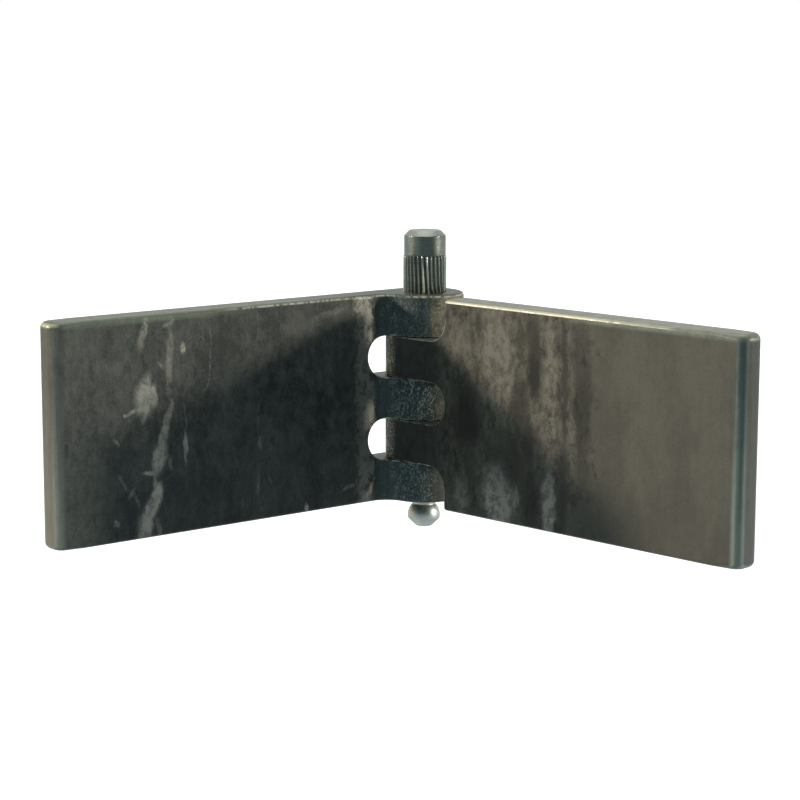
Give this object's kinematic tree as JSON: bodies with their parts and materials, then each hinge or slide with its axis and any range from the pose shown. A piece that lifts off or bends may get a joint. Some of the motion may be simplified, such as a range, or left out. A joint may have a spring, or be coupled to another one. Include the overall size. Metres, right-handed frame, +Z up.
{
  "type": "straight door hinge",
  "caption": "Straight weld-on door hinge: two flat steel leaves with interlocking round knuckles, turning on a knurled pin with a grease nipple.",
  "frame": {"origin": "on the pin line, level with the lower edge of the leaves", "axes": "+Z up along the pin line to its head, -X along the left leaf to its outer end, +Y out of the left leaf's back face"},
  "size_m": [0.0885, 0.0886, 0.0575],
  "materials": {
    "left_leaf": "dark mill scale, worn",
    "right_leaf": "brown-grey mill scale, worn",
    "pin_steel": "turned, satin",
    "zinc_plate": "zinc plated, bright",
    "bearing_steel": "polished",
    "spring_steel": "drawn wire"
  },
  "bodies": {
    "left_leaf": {"left_leaf": "left_leaf"},
    "right_leaf": {"right_leaf": "right_leaf"},
    "pin": {"hinge_pin": "pin_steel", "grease_nipple": "zinc_plate", "nipple_spring": "spring_steel"},
    "check_ball": {"nipple_check_ball": "bearing_steel"}
  },
  "joints": [
    {"name": "leaf_swing", "type": "hinge", "parent": "left_leaf", "child": "right_leaf", "pos_m": [0, 0, 0.02], "axis": [0, 0, 1], "range_deg": [-46, 213]},
    {"name": "pin_lift", "type": "slide", "parent": "left_leaf", "child": "pin", "axis": [0, 0, 1], "range_m": [0, 0.048]},
    {"name": "ball_press", "type": "slide", "parent": "pin", "child": "check_ball", "axis": [0, 0, 1], "range_m": [0, 0.001], "stiffness_N_per_m": 200, "deforming": ["nipple_spring"]}
  ]
}
